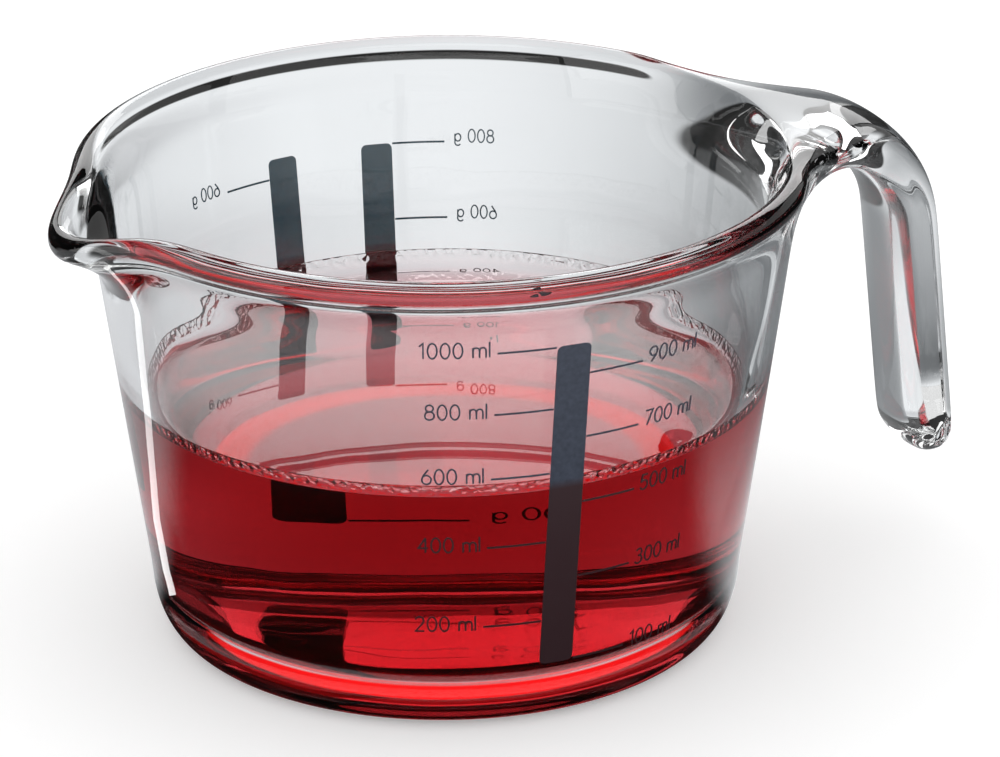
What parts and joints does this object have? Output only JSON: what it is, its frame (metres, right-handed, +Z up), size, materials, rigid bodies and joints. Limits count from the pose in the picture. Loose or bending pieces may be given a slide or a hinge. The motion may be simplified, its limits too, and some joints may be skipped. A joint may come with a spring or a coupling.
{
  "type": "measuring jug",
  "caption": "Low, wide measuring jug of thick clear glass with a rounded rim, a small drawn-out pouring lip, an open hook handle and printed volume scales, part filled with a clear red drink.",
  "frame": {"origin": "middle of the flat base, on the table under the jug's axis", "axes": "+Z up along the jug's axis, +X out through the handle, pouring lip along -X, the litre scale faces -Y"},
  "size_m": [0.2035, 0.1544, 0.1041],
  "materials": {
    "clear_glass": "clear pressed glass, fire polished",
    "red_drink": "clear deep red liquid",
    "enamel_print": "fired dark blue-grey enamel"
  },
  "bodies": {
    "root": {"glass_jug": "clear_glass", "red_drink": "red_drink", "litre_bar": "enamel_print", "flour_bar": "enamel_print", "sugar_bar": "enamel_print", "mark_100_ml": "enamel_print", "mark_200_ml": "enamel_print", "mark_300_ml": "enamel_print", "mark_400_ml": "enamel_print", "mark_500_ml": "enamel_print", "mark_600_ml": "enamel_print", "mark_700_ml": "enamel_print", "mark_800_ml": "enamel_print", "mark_900_ml": "enamel_print", "mark_1000_ml": "enamel_print", "mark_flour_100_g": "enamel_print", "mark_flour_200_g": "enamel_print", "mark_flour_400_g": "enamel_print", "mark_flour_600_g": "enamel_print", "mark_sugar_100_g": "enamel_print", "mark_sugar_200_g": "enamel_print", "mark_sugar_400_g": "enamel_print", "mark_sugar_600_g": "enamel_print", "mark_sugar_800_g": "enamel_print"}
  },
  "joints": []
}
